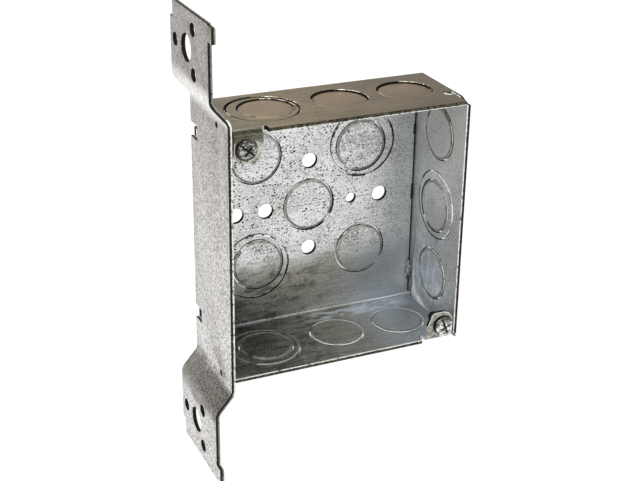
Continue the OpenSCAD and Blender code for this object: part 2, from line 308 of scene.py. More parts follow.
def earLightAndShade(g, s, colour, up, across, deep):
    # the folded ears are mottled; the upper ear is painted darker as shade, the lower one has a pale tip
    # painted as a highlight
    aside, above = abs(across) > -sideX - s["fromSide"], abs(up) > halfTall - s["fromTop"]
    ear = aside * above * (across * up < 0.0) * (deep < rimY + s["fromRim"])
    mottle = g.band(g.noise(g.place(), 2.4 * mm, 3.0, 0.65), 0.40, 0.60)
    pale = g.mix(g.band(up - across * 0.5, *s["oliveFrom"]), s["lowerPale"], s["olive"])
    pale = g.mix(up > 0.0, pale, s["upperPale"])
    dark = g.mix(up > 0.0, s["lowerDark"], s["upperDark"])
    return g.mix(ear * s["cover"], colour, g.mix(mottle, dark, pale))


# painted shadow round the screw heads
headShadow = {"edge": (4.6 * mm, 4.1 * mm), "fromRim": 2 * mm, "cover": 0.95}


def shadeRoundHeads(g, s, colour, up, across, deep):
    # painted shadow on the ears round the screw heads
    dirt = 0.0
    for node in ("upper_cover_screw", "lower_cover_screw"):
        low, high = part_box(node)
        away = distance(across - (low.x + high.x) / 2, up - (low.z + high.z) / 2)
        dirt = g.band(away, *s["edge"]) + dirt
    return g.mix(dirt * (deep < rimY + s["fromRim"]) * s["cover"], colour, film["dirt"])


topFilm = {
    "brown": (0.145, 0.103, 0.052), "brownPale": (0.30, 0.226, 0.125), "oily": (0.058, 0.043, 0.018),
    "moss": (0.075, 0.066, 0.026), "mossPale": (0.20, 0.175, 0.095),
    "disc": (0.20, 0.125, 0.072), "discPale": (0.37, 0.265, 0.17), "worn": (0.95, 0.95, 0.94),
    "top": (halfTall - 1.3 * mm, halfTall - 0.7 * mm), "front": (rimY + 12 * mm, rimY),
    "right": (-40 * mm, 45 * mm), "leftEnd": (-34 * mm, -44 * mm), "farFold": (-2.6 * mm, -1.9 * mm),
    "discs": (-27.7 * mm, 3.9 * mm, 31.8 * mm), "discLine": -20.2 * mm,
    "discEdge": (10.6 * mm, 9.6 * mm), "discFar": (-29 * mm, -14 * mm),
    "lockX": 45.7 * mm, "lockY": -29.9 * mm, "lockDirt": (2.8 * mm, 2.3 * mm),
    "wornFrom": (0.7 * mm, 0.9 * mm), "wornTo": (2.1 * mm, 1.9 * mm), "wornBehind": 0.8 * mm,
}


def brownTop(g, s, colour, tone, up, across, deep):
    # brown with moss at the front and left, darker to the right and along the far fold, paler discs; a
    # painted shadow with a painted highlight round it at the corner lock
    moss = g.mix(tone, s["moss"], s["mossPale"])
    patch = g.noise(g.place(scale=(0.5, 1, 1)), 9 * mm, 3.0, 0.6) + g.band(deep, *s["front"]) * 0.12
    brown = g.mix(g.band(patch, 0.50, 0.66) * 0.75, g.mix(tone, s["brown"], s["brownPale"]), moss)
    brown = g.mix(g.band(across, *s["right"]) * 0.75, brown, g.mix(tone, s["oily"], s["brown"]))
    leftEnd = g.band(across + waveOf(g, 14 * mm, 14 * mm) * 0.3, *s["leftEnd"])
    brown = g.mix(leftEnd * 0.6, brown, moss)
    onDisc = 0.0
    for middle in s["discs"]:
        onDisc = g.band(distance(across - middle, deep - s["discLine"]), *s["discEdge"]) + onDisc
    onDisc = onDisc * g.band(deep, *s["discFar"])
    brown = g.mix(onDisc * 0.6, brown, g.mix(tone, s["disc"], s["discPale"]))
    brown = g.mix(g.band(deep, *s["farFold"]) * 0.85, brown, s["oily"])
    # painted shadow and painted highlight at the notch of the corner lock
    behind = deep - s["lockY"]
    away = distance(across - s["lockX"], behind)
    brown = g.mix(g.band(away, *s["lockDirt"]), brown, film["dirt"])
    worn = g.band(away, *s["wornFrom"]) * g.band(away, *s["wornTo"]) * (behind < s["wornBehind"])
    brown = g.mix(worn, brown, s["worn"])
    return g.mix(g.band(up, *s["top"]), colour, brown)


foldTone = {
    "dark": (0.040, 0.038, 0.026), "pale": (0.19, 0.185, 0.14), "leftOf": -35 * mm,
    "deep": (rimY + 3.4 * mm, rimY + 2.6 * mm), "up": (halfTall - 4.6 * mm, halfTall - 3.8 * mm),
}
scribedLine = {"up": 0.7 * mm, "edge": (0.16 * mm, 0.08 * mm), "half": 31 * mm, "cover": 0.7}


def darkenFold(g, s, colour, tone, up, across, deep):
    # the fold over the upper ear, darker and mottled
    fold = g.band(deep, *s["deep"]) * (across < s["leftOf"]) * g.band(up, *s["up"])
    return g.mix(fold, colour, g.mix(tone, s["dark"], s["pale"]))


def scribe(g, s, colour, up, across, deep):
    # a slightly crooked line right across the back
    line = g.band(abs(up - s["up"] + waveOf(g, 14 * mm, 14 * mm) * 0.01), *s["edge"])
    line = line * (abs(across) < s["half"]) * (deep > backFrom)
    return g.mix(line * s["cover"], colour, film["dirt"])


def channelFilm(g, colour, tone):
    up, across, deep = axisOf(g, "Z"), axisOf(g, "X"), axisOf(g, "Y")
    colour = shadeLowInBox(g, lowShading, colour, tone, up, across, deep)
    colour = earLightAndShade(g, earTones, colour, up, across, deep)
    colour = shadeRoundHeads(g, headShadow, colour, up, across, deep)
    colour = brownTop(g, topFilm, colour, tone, up, across, deep)
    colour = darkenFold(g, foldTone, colour, tone, up, across, deep)
    return scribe(g, scribedLine, colour, up, across, deep)


bareSheet = {"low": (-15 * mm, -25 * mm), "right": (20 * mm, 34 * mm), "top": halfTall - 1.3 * mm}


def channelBare(g, s=bareSheet):
    # hardly any specks low in the box, at its right end and on top
    up, across = axisOf(g, "Z"), axisOf(g, "X")
    low = g.most(g.band(up, *s["low"]), g.band(across, *s["right"]) * 0.7)
    return g.most(low, up > s["top"]) * 0.85


# panel tones: a painted sheen low at the seam and painted shade at the foot and along the seam
panelTint = {
    "green": (0.66, 0.68, 0.63), "greenUp": (0.0, 38 * mm), "shade": (0.10, 0.10, 0.10),
    "smearFront": (-40 * mm, -24 * mm), "smearBack": (-5 * mm, -14 * mm), "smearUp": (-8 * mm, -28 * mm),
    "footUp": (-40 * mm, -47 * mm), "seamDeep": (-10 * mm, -3 * mm),
    "coolCover": 0.30, "greenCover": 0.55, "smearCover": 0.75, "footCover": 0.5, "seamCover": 0.35,
}


def panelFilm(g, colour, tone, s=panelTint):
    # cooler and smoother than the channel, greener towards the top, pale patches low at the seam painted
    # as sheen, and painted shade low down and along the seam
    up, deep = axisOf(g, "Z"), axisOf(g, "Y")
    inner = axisOf(g, "X") < -sideX - sheetThick / 2
    colour = g.mix(s["coolCover"], colour, film["cool"])
    colour = g.mix(g.band(up, *s["greenUp"]) * s["greenCover"], colour, s["green"])
    sheenPatch = g.band(g.noise(g.place(scale=(1, 1, 0.5)), 3 * mm, 3.0, 0.65), 0.47, 0.60)
    near = g.band(deep, *s["smearFront"]) * g.band(deep, *s["smearBack"]) * g.band(up, *s["smearUp"])
    colour = g.mix(sheenPatch * near * inner * s["smearCover"], colour, film["sheen"])
    # painted shade at the foot of the panel and along the seam
    foot = g.most(g.band(up, *s["footUp"]) * s["footCover"], g.band(deep, *s["seamDeep"]) * s["seamCover"])
    return g.mix(foot * inner, colour, s["shade"])


bracketTint = {
    "warm": (1.0, 0.975, 0.955),
    "high": (-20 * mm, 80 * mm), "highDark": (0.12, 0.10, 0.088), "highPale": (0.37, 0.33, 0.30),
    "slopeHead": (-52 * mm, -57 * mm), "slopeFoot": (-71 * mm, -66 * mm),
    "slopeDark": (0.035, 0.032, 0.025), "slopePale": (0.33, 0.315, 0.275),
    "brightFoot": (50 * mm, 55 * mm), "brightHead": (68 * mm, 63 * mm), "bright": (0.95, 0.95, 0.93),
    "highCover": 0.78, "slopeCover": 0.92, "brightCover": 0.8,
}


def bracketFilm(g, colour, tone, s=bracketTint):
    # greyer and warmer towards the upper ear, a painted highlight on its bend, mottled where the lower ear
    # starts
    up = axisOf(g, "Z")
    wave = waveOf(g, 9 * mm, 8 * mm)
    colour = g.mix(1.0, colour, s["warm"], "MULTIPLY")
    high = g.band(up, *s["high"])
    colour = g.mix(high * s["highCover"], colour, g.mix(tone, s["highDark"], s["highPale"]))
    slope = g.band(up + wave, *s["slopeHead"]) * g.band(up + wave, *s["slopeFoot"])
    colour = g.mix(slope * s["slopeCover"], colour, g.mix(tone, s["slopeDark"], s["slopePale"]))
    # painted highlight on the bend of the upper ear
    bright = g.band(up + wave * 0.5, *s["brightFoot"]) * g.band(up, *s["brightHead"])
    return g.mix(bright * s["brightCover"], colour, s["bright"])


cutFinish = {
    "bright": (0.80, 0.79, 0.76), "torn": (0.014, 0.013, 0.011), "metal": 0.6, "rough": 0.32,
    "oil": (0.17, 0.15, 0.10), "ear": (0.24, 0.23, 0.20), "earFrom": 56 * mm,
}


def shearedEdge(name, s, across, share, oil=0.0):
    # one half of a cut edge is burnished by the punch, the other half is torn and dark
    mat = bpy.data.materials.new(name)
    g = Graph(mat)
    ragged = g.noise(g.place(), 1.1 * mm, 4.0, 0.7)
    fine = g.noise(g.place(), 0.3 * mm, 2.0, 0.6)
    depth = across(g) + (ragged - 0.5) * 0.55
    torn = g.band(depth, share + 0.12, share - 0.12)
    spots = g.band(g.noise(g.place(), 2.6 * mm, 3.0, 0.7), 0.56, 0.64)
    torn = g.most(torn, spots * 0.85)
    oily = g.mix(g.band(fine * 0.5 + ragged * 0.5, 0.47, 0.58) * oil, s["torn"], s["oil"])
    ear = abs(axisOf(g, "Z")) > s["earFrom"]
    colour = g.mix(torn, g.mix(ear, s["bright"], s["ear"]), oily)
    g.finish(Base_Color=colour, Metallic=s["metal"], Roughness=s["rough"] + 0.4 * torn + 0.1 * fine,
             Normal=g.bump(fine + ragged, 0.5, 0.06 * mm))
    return mat


# rims: rubbed bright, with painted shade in the breaks and painted light on the side and the bottom
rimFinish = {
    "bright": (0.80, 0.79, 0.76), "brown": (0.80, 0.73, 0.60), "pale": (0.88, 0.93, 0.97),
    "dim": (0.30, 0.29, 0.26), "dull": (0.10, 0.095, 0.08), "metal": 0.5, "rough": 0.3,
    "dimLeftOf": -8 * mm, "sideDullFrom": 17 * mm, "footBelow": 3 * mm - halfTall,
}


def burnished(name, s):
    # rounded rims that the punch rubbed bright, with breaks painted as shade; painted paler on the side
    # and the bottom, browner on the top, dimmer to the left of the bottom
    mat = bpy.data.materials.new(name)
    g = Graph(mat)
    across, up = axisOf(g, "X"), axisOf(g, "Z")
    onBack, onTop = axisOf(g, "Y") > backFrom, up > topFrom
    onSide, onFoot = across > -sideX - sheetThick - 0.1 * mm, up < s["footBelow"]
    onPale = g.most(onSide, onFoot)
    breaks = g.band(g.noise(g.place(), 2.4 * mm, 3.0, 0.7) + onBack * 0.06 + onTop * 0.05, 0.54, 0.62)
    breaks = g.most(breaks * (1.0 - onPale * 0.6), onSide * (up > s["sideDullFrom"]) * 0.9)
    shine = g.mix(onPale, g.mix(onTop, s["bright"], s["brown"]), s["pale"])
    shine = g.mix((across < s["dimLeftOf"]) * onFoot, shine, s["dim"])
    g.finish(Base_Color=g.mix(breaks, shine, s["dull"]), Metallic=s["metal"] - 0.35 * onPale,
             Roughness=s["rough"] + 0.3 * breaks)
    return mat


# dark patches painted as a reflection on the pressed slopes
slopeFinish = {"steel": (0.36, 0.355, 0.33), "grime": (0.12, 0.112, 0.09), "metal": 0.6, "rough": 0.32}


def pressed(name, s):
    # slopes pressed along the knock-out edges, greyer than the sheet, with dark patches in them painted as
    # a reflection
    mat = bpy.data.materials.new(name)
    g = Graph(mat)
    patches = g.noise(g.place(), 3.2 * mm, 3.0, 0.6)
    fine = g.noise(g.place(), 0.35 * mm, 2.0, 0.6)
    steel = g.mix(axisOf(g, "Z") > topFrom, s["steel"], topFilm["brownPale"])
    colour = g.mix(g.band(patches * 0.6 + fine * 0.4, 0.36, 0.60), s["grime"], steel)
    g.finish(Base_Color=colour, Metallic=s["metal"], Roughness=s["rough"] + 0.2 * fine,
             Normal=g.bump(fine, 0.4, 0.05 * mm))
    return mat


# how far through the sheet a point lies, in parts of its thickness
def fromTop(g):
    return (halfTall - abs(axisOf(g, "Z"))) / sheetThick


def fromRight(g):
    return (-sideX - axisOf(g, "X")) / sheetThick


def fromLeft(g, jogSpan=(53 * mm, 64.3 * mm)):
    # follows the jog that sets the ears of the bracket further out
    tall = abs(axisOf(g, "Z") - bracketMid)
    jog = g.band(tall, *jogSpan) * (sideX - bracketLow.x)
    return (axisOf(g, "X") - sideX + jog) / sheetThick


def shadedWall(name, colour, rough, metal=0.3, gloss=0.5):
    # small surfaces: walls of holes and gaps and the seam, painted dark as shade; reliefs, painted pale as
    # a highlight; weld, and dirt in the screw heads
    mat = bpy.data.materials.new(name)
    g = Graph(mat)
    stains = g.noise(g.place(), 0.9 * mm, 3.0, 0.6)
    g.finish(Base_Color=g.mix(g.band(stains, 0.35, 0.7), colour, tuple(2.2 * c for c in colour)),
             Metallic=metal, Specular_IOR_Level=gloss, Roughness=rough + 0.2 * stains,
             Normal=g.bump(stains, 0.4, 0.05 * mm))
    return mat


panelFinish = {**sheetFinish, "specks": 0.35, "shares": (0.22, 0.10, 0.68)}
bracketFinish = {
    **sheetFinish, "dark": (0.20, 0.20, 0.20), "grain": 0.52 * mm, "streakLength": 3 * mm, "specks": 0.5,
    "shares": (0.08, 0.06, 0.86),
}
channelSteel = galvanised("channelSteel", sheetFinish, "x", channelFilm, channelBare)
panelSteel = galvanised("panelSteel", panelFinish, "z", panelFilm)
bracketSteel = galvanised("bracketSteel", bracketFinish, "z", bracketFilm)
channelCut = shearedEdge("channelCut", cutFinish, fromTop, 0.80, 0.8)
panelCut = shearedEdge("panelCut", cutFinish, fromRight, 0.74)
bracketCut = shearedEdge("bracketCut", cutFinish, fromLeft, 0.58)
# near black: painted shade in the gaps round the knock-outs and at the seam
gapWall = shadedWall("gapWall", (0.006, 0.0055, 0.0045), 0.6, 0.0, 0.1)
# dark: painted shade along the seam
seamWall = shadedWall("seamWall", (0.06, 0.058, 0.05), 0.5)
rimSteel = burnished("rimSteel", rimFinish)
# pale: painted highlight on the reliefs beside the ears
reliefSteel = shadedWall("reliefSteel", (0.34, 0.335, 0.32), 0.3)
slopeSteel = pressed("slopeSteel", slopeFinish)
weldSteel = shadedWall("weldSteel", (0.16, 0.165, 0.18), 0.15)
recessDirt = shadedWall("recessDirt", (0.008, 0.007, 0.006), 0.6)
# near black: painted shade in the holes of the bracket's ears
holeWall = shadedWall("holeWall", (0.005, 0.0045, 0.004), 0.5, 0.0, 0.1)
print("finishes ready")


# folded sheets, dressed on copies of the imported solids
softEdge = {"channel": 0.19 * mm, "panel": 0.19 * mm, "bracket": 0.22 * mm}


def only(obj):
    bpy.ops.object.select_all(action="DESELECT")
    obj.select_set(True)
    bpy.context.view_layer.objects.active = obj


def settle(obj):
    only(obj)
    bpy.ops.object.transform_apply(location=True, rotation=True, scale=True)


def copyOfNode(node, name):
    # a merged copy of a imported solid, ready for edge work
    obj = bpy.data.objects.new(name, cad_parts[node].data.copy())
    bpy.context.scene.collection.objects.link(obj)
    only(obj)
    bpy.ops.object.mode_set(mode="EDIT")
    bpy.ops.mesh.select_all(action="SELECT")
    bpy.ops.mesh.remove_doubles(threshold=0.02 * mm)
    bpy.ops.mesh.dissolve_limited(angle_limit=math.radians(1))
    bpy.ops.object.mode_set(mode="OBJECT")
    obj.data.materials.clear()
    return obj


def bevelWhere(obj, width, segments, allowed, sharp=None, profile=0.5):
    # selects the edges with both ends where allowed says so, and bevels them
    only(obj)
    bpy.ops.object.mode_set(mode="EDIT")
    bpy.ops.mesh.select_mode(type="EDGE")
    if sharp:
        bpy.ops.mesh.select_all(action="DESELECT")
        bpy.ops.mesh.edges_select_sharp(sharpness=math.radians(sharp))
        bpy.ops.object.mode_set(mode="OBJECT")
        chosen = [e.index for e in obj.data.edges if e.select]
    else:
        bpy.ops.object.mode_set(mode="OBJECT")
        chosen = range(len(obj.data.edges))
    bpy.ops.object.mode_set(mode="EDIT")
    bpy.ops.mesh.select_all(action="DESELECT")
    bpy.ops.object.mode_set(mode="OBJECT")
    mesh = obj.data
    for index in chosen:
        mesh.edges[index].select = all(allowed(mesh.vertices[i].co) for i in mesh.edges[index].vertices)
    bpy.ops.object.mode_set(mode="EDIT")
    bpy.ops.mesh.bevel(offset=width, offset_type="OFFSET", segments=segments, profile=profile,
                       clamp_overlap=False)
    bpy.ops.object.mode_set(mode="OBJECT")


def dress(obj, faces, pick, smooth=35):
    # pick says which of the materials a face takes, from its middle and its normal
    for material in faces:
        obj.data.materials.append(material)
    for polygon in obj.data.polygons:
        polygon.material_index = pick(polygon.center, polygon.normal)
    only(obj)
    bpy.ops.object.shade_smooth_by_angle(angle=math.radians(smooth))


# the corners with the folded ears, at the upper left and the lower right
earCorner = {
    "aside": 34.2 * mm, "deep": 4 * mm, "down": 3.6 * mm, "frontDeep": 1.7 * mm, "frontDown": 2 * mm,
    "reliefTo": 37 * mm,
}


def nearEar(p, s=earCorner):
    corner = Vector((-p.x, p.y, p.z)) if p.z > 0 else Vector((p.x, p.y, -p.z))
    return corner.x > s["aside"] and p.y < rimY + s["deep"] and corner.z > halfTall - s["down"]


def channelNormal(p, s=earCorner):
    # direction across the sheet at a point of the folded channel
    side = 1 if p.z > 0 else -1
    bend = foldRadius + sheetThick
    front = p.y < rimY + s["frontDeep"] and abs(p.z) < halfTall - s["frontDown"]
    if nearEar(p):
        return Vector((0, p.y - (rimY + bend), p.z - side * (halfTall - bend))).normalized()
    if abs(p.z) < halfTall - bend or front:
        return Vector((0, 1, 0))
    if p.y < -bend:
        return Vector((0, 0, 1))
    return Vector((0, p.y + bend, p.z - side * (halfTall - bend))).normalized()


# middles of the knock-outs in mm, on the back, the top, the bottom and the right side
discMiddles = [
    (-23.3, 0, 24), (23.3, 0, 24), (-23.3, 0, -23), (23.3, 0, -23), (-0.2, 0, 0.5),
    (-27.7, -20.2, 50.8), (3.9, -20.2, 50.8), (31.8, -20.2, 50.8),
    (-27.7, -22, -50.8), (3.9, -22, -50.8), (31.8, -22, -50.8),
    (49.2, -21.5, 31.4), (49.2, -21.5, 0.5), (49.2, -21.5, -30.4),
]
topDouble = discMiddles[5]

# ties that hold the discs: wall, middle of the ring in its plane, radius in mm, angles
ties = [
    ("back", -23.3, 24, 11.1, (150,)), ("back", 23.3, 24, 14.3, (-75, 120)),
    ("back", 22.5, 23.1, 11.1, (62, 240)),
    ("back", -0.2, 0.5, 11.1, (-40,)), ("back", -23.3, -23, 14.3, (20, 200)),
    ("back", -22.6, -22.2, 11.1, (-130, 128)), ("back", 23.3, -23, 11.1, (-38,)),
    ("top", -27.7, -20.2, 14.3, (-100, 80)), ("top", -26, -19.6, 11.1, (-140, -15)),
    ("top", 3.9, -20.2, 11.1, (165,)), ("top", 31.8, -20.2, 11.1, (-12,)),
    ("bottom", -27.7, -22, 14.3, (-132, 40)), ("bottom", -27, -21.5, 11.1, (60, 210)),
    ("bottom", 3.9, -22, 11.1, (140,)), ("bottom", 31.8, -22, 11.1, (155,)),
    ("right", -21.5, 31.4, 11.1, (100,)), ("right", -21.5, 0.5, 14.3, (111, -70)),
    ("right", -21, -0.1, 11.1, (-144, -120, 40)), ("right", -21.5, -30.4, 11.1, (75,)),
]
wallMiddles = {"back": -0.8, "top": 50, "bottom": -50, "right": 48.4}
tiePlaces = []
for wall, a, b, radius, angles in ties:
    for angle in angles:
        along, over = radius * math.cos(math.radians(angle)), radius * math.sin(math.radians(angle))
        level = wallMiddles[wall]
        places = {"back": (a + along, level, b + over), "top": (a + along, b + over, level),
                  "bottom": (a + along, b + over, level), "right": (level, a + over, b - along)}
        tiePlaces.append(Vector(places[wall]) * mm)

# reach of a tie and of a knock-out, and the ring of the double one on top
ringPlace = {
    "tie": 2.3 * mm, "reach": 15.5 * mm, "farBehind": 2 * mm, "farAside": 3 * mm,
    "nearFront": -2 * mm, "ringFrom": 13.2 * mm, "ringTo": 14.25 * mm,
}


def onTie(p, s=ringPlace):
    return any((p - place).length < s["tie"] for place in tiePlaces)


def rimOfDisc(p, n, s=ringPlace):
    # a disc's own rim is rubbed bright, the rim of the sheet round it takes painted shade, save on the top
    away = min((p - Vector(middle) * mm for middle in discMiddles), key=lambda v: v.length)
    if p.z > topFrom and away.y > s["farBehind"] and away.x < s["farAside"]:
        return False
    return away.length < s["reach"] and (n.dot(away) > 0 or abs(p.z) > topFrom)


def nearOfRing(p, s=ringPlace):
    # painted shade on the front half of the outer ring pressed into the top
    away = p - Vector(topDouble) * mm
    return p.z > topFrom and away.y < s["nearFront"] and s["ringFrom"] < away.length < s["ringTo"]


# wider places of the seam, painted near black as shade, as middle and half length in mm
seamGaps = [(-37, 4.75), (-1, 3.4), (26.8, 2.1)]
# which of a sheet's materials a face takes, and how well it has to follow the sheet for that
sheetFace, cutFace, gapFace, rimFace, slopeFace, seamFace, reliefFace = range(7)
follows = {"sheet": 0.99, "slope": 0.94, "ear": 0.5, "rim": 0.25}
borders = {"front": 0.3 * mm, "side": 0.5 * mm, "seam": 3 * mm, "panelHead": 1.8 * mm}


def channelFace(p, n):
    flat = abs(n.dot(channelNormal(p)))
    if flat > follows["sheet"] or (nearEar(p) and flat > follows["ear"]):
        return sheetFace
    if nearEar(p) and abs(p.x) < earCorner["reliefTo"]:
        return reliefFace
    if p.y < rimY + borders["front"] or abs(p.x) > -sideX - borders["side"]:
        return cutFace
    if p.x > -sideX - borders["seam"]:
        wide = any(abs(p.z - middle * mm) < half * mm for middle, half in seamGaps)
        return gapFace if wide else seamFace
    if onTie(p):
        return sheetFace
    if nearOfRing(p):
        return gapFace
    if flat > follows["slope"]:
        return slopeFace
    return rimFace if flat > follows["rim"] and rimOfDisc(p, n) else gapFace


channel = copyOfNode("body_channel", "channelSheet")
bevelWhere(channel, softEdge["channel"], 2, lambda p: not nearEar(p), sharp=40)
channelSteels = (channelSteel, channelCut, gapWall, rimSteel, slopeSteel, seamWall, reliefSteel)
dress(channel, channelSteels, channelFace, 14)
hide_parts("body_channel")


def panelFace(p, n):
    flat = abs(n.x)
    if p.y < rimY + borders["front"] or p.z > halfTall - borders["panelHead"]:
        return sheetFace if flat > 0.5 else cutFace
    if flat > follows["sheet"] or onTie(p):
        return sheetFace
    if flat > follows["slope"]:
        return slopeFace
    return rimFace if flat > follows["rim"] and rimOfDisc(p, n) else gapFace


panel = copyOfNode("right_panel", "rightPanelSheet")
bevelWhere(panel, softEdge["panel"], 2, lambda p: True, sharp=40)
dress(panel, (panelSteel, panelCut, gapWall, rimSteel, slopeSteel), panelFace, 14)
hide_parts("right_panel")

# holes in the ears in mm, as y, distance from the middle of the bracket and radius
earHoles = [(-18.3, 77.4, 5.2), (-6.1, 77.4, 2.5), (-25.6, 69.2, 2.5), (-25.6, 85.6, 2.5)]
earBend = (52.5 * mm, 66 * mm)


def bracketFace(p, n):
    tall = abs(p.z - bracketMid)
    for y, up, radius in earHoles:
        if math.hypot(p.y - y * mm, tall - up * mm) < (radius + 0.05) * mm and abs(n.x) < 0.5:
            return gapFace
    onBend = earBend[0] < tall < earBend[1]
    return cutFace if abs(n.y) > 0.25 or (not onBend and abs(n.x) < 0.5) else sheetFace


bracket = copyOfNode("stud_bracket_panel", "bracketSheet")
bevelWhere(bracket, softEdge["bracket"], 2, lambda p: True, sharp=40)
dress(bracket, (bracketSteel, bracketCut, holeWall), bracketFace)
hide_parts("stud_bracket_panel")


# lumps of weld along the corner seam behind the side panel
weldSpots = {
    "from": -32.5 * mm, "to": -40 * mm, "count": 14, "x": -sideX - sheetThick, "y": -sheetThick,
    "sizes": (0.4, 0.85), "aside": (0.0, 1.8), "out": (0.0, 1.2),
    "stretch": ((0.7, 1.3), (0.6, 1.0), (0.8, 1.5)),
}


def addWeld(s):
    random.seed(7)
    lumps = []
    for index in range(s["count"]):
        up = s["from"] + (s["to"] - s["from"]) * (index + random.uniform(-0.3, 0.3)) / (s["count"] - 1)
        size = random.uniform(*s["sizes"]) * mm
        bpy.ops.object.select_all(action="DESELECT")
        bpy.ops.mesh.primitive_uv_sphere_add(segments=14, ring_count=9, radius=size, location=(
            s["x"] - random.uniform(*s["aside"]) * mm, s["y"] - random.uniform(*s["out"]) * mm, up))
        lump = bpy.context.active_object
        lump.scale = [random.uniform(*span) for span in s["stretch"]]
        settle(lump)
        lumps.append(lump)
    for lump in lumps:
        lump.select_set(True)
    bpy.ops.object.join()
    weld = bpy.context.active_object
    weld.name = "seamWeld"
    settle(weld)
    weld.data.materials.append(weldSteel)
    bpy.ops.object.shade_smooth()
    return weld


weld = addWeld(weldSpots)

for piece in (channel, panel, bracket, weld):
    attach(piece, "root")
print("sheets dressed")


# cover screws, with a recessed head and a thread
screwFinish = {
    "colour": (0.50, 0.495, 0.47), "grime": (0.02, 0.018, 0.015), "metal": 1.0, "rough": 0.14,
    "grimeFrom": 0.43,
}
screwShape = {
    "head": 3.75 * mm, "headTall": 2.6 * mm, "round": 1.75 * mm, "roundFrom": 2 * mm, "profile": 0.56,
    "soft": 0.09 * mm, "recessFrom": 0.14 * mm, "recessTo": 0.3 * mm,
    "slotWide": 0.8 * mm, "slotDeep": 0.9 * mm, "crossLong": 4.9 * mm, "crossDeep": 1.7 * mm,
    "crossWide": 0.85 * mm, "crossOut": 0.3 * mm, "crossTaper": 0.42, "rimWide": 0.5 * mm,
    "core": 1.68 * mm, "length": 9.6 * mm, "sunk": 0.05 * mm, "point": 0.5 * mm, "pointFrom": 8 * mm,
    "thread": 2.04 * mm, "pitch": 0.794 * mm, "turns": 10, "wire": 0.42 * mm, "threadFrom": 0.6 * mm,
}


def screwSteel(name, s):
    # zinc plate mottled with dark patches, with grime in the recess and a painted shadow round the foot of
    # the head
    mat = bpy.data.materials.new(name)
    g = Graph(mat)
    spot = g.noise(g.place(), 0.5 * mm, 3.0, 0.65)
    wear = g.noise(g.place(), 1.7 * mm, 3.0, 0.6)
    out = axisOf(g, "Y")
    # painted shadow at the foot of the head, where it meets the ear
    foot = g.band(out, rimY - 1.0 * mm, rimY - 0.6 * mm)
    grime = g.most(g.band(spot * 0.45 + wear * 0.55, s["grimeFrom"], s["grimeFrom"] + 0.07) * 0.85, foot)
    g.finish(Base_Color=g.mix(grime, s["colour"], s["grime"]), Metallic=s["metal"],
             Roughness=s["rough"] + 0.25 * grime + 0.1 * spot, Normal=g.bump(spot + wear, 0.45, 0.08 * mm))
    return mat


def cutWith(obj, cutter):
    only(obj)
    cut = obj.modifiers.new("cut", "BOOLEAN")
    cut.operation = "DIFFERENCE"
    cut.object = cutter
    bpy.ops.object.modifier_apply(modifier="cut")
    bpy.data.objects.remove(cutter)


def block(size, centre, turn):
    bpy.ops.object.select_all(action="DESELECT")
    bpy.ops.mesh.primitive_cube_add(size=1, location=centre, rotation=(0, turn, 0))
    obj = bpy.context.active_object
    obj.scale = size
    settle(obj)
    return obj


def crossCutter(s, centre, turn):
    # one arm of the cross recess, narrower towards its bottom
    arm = block((s["crossLong"], s["crossDeep"], s["crossWide"]),
                (centre.x, centre.y + s["crossDeep"] / 2 - s["crossOut"], centre.z), turn)
    bpy.ops.object.mode_set(mode="EDIT")
    bpy.ops.mesh.select_all(action="DESELECT")
    bpy.ops.object.mode_set(mode="OBJECT")
    for polygon in arm.data.polygons:
        polygon.select = polygon.normal.y > 0.9
    bpy.ops.object.mode_set(mode="EDIT")
    bpy.ops.transform.resize(value=(s["crossTaper"], 1, s["crossTaper"]))
    bpy.ops.object.mode_set(mode="OBJECT")
    return arm


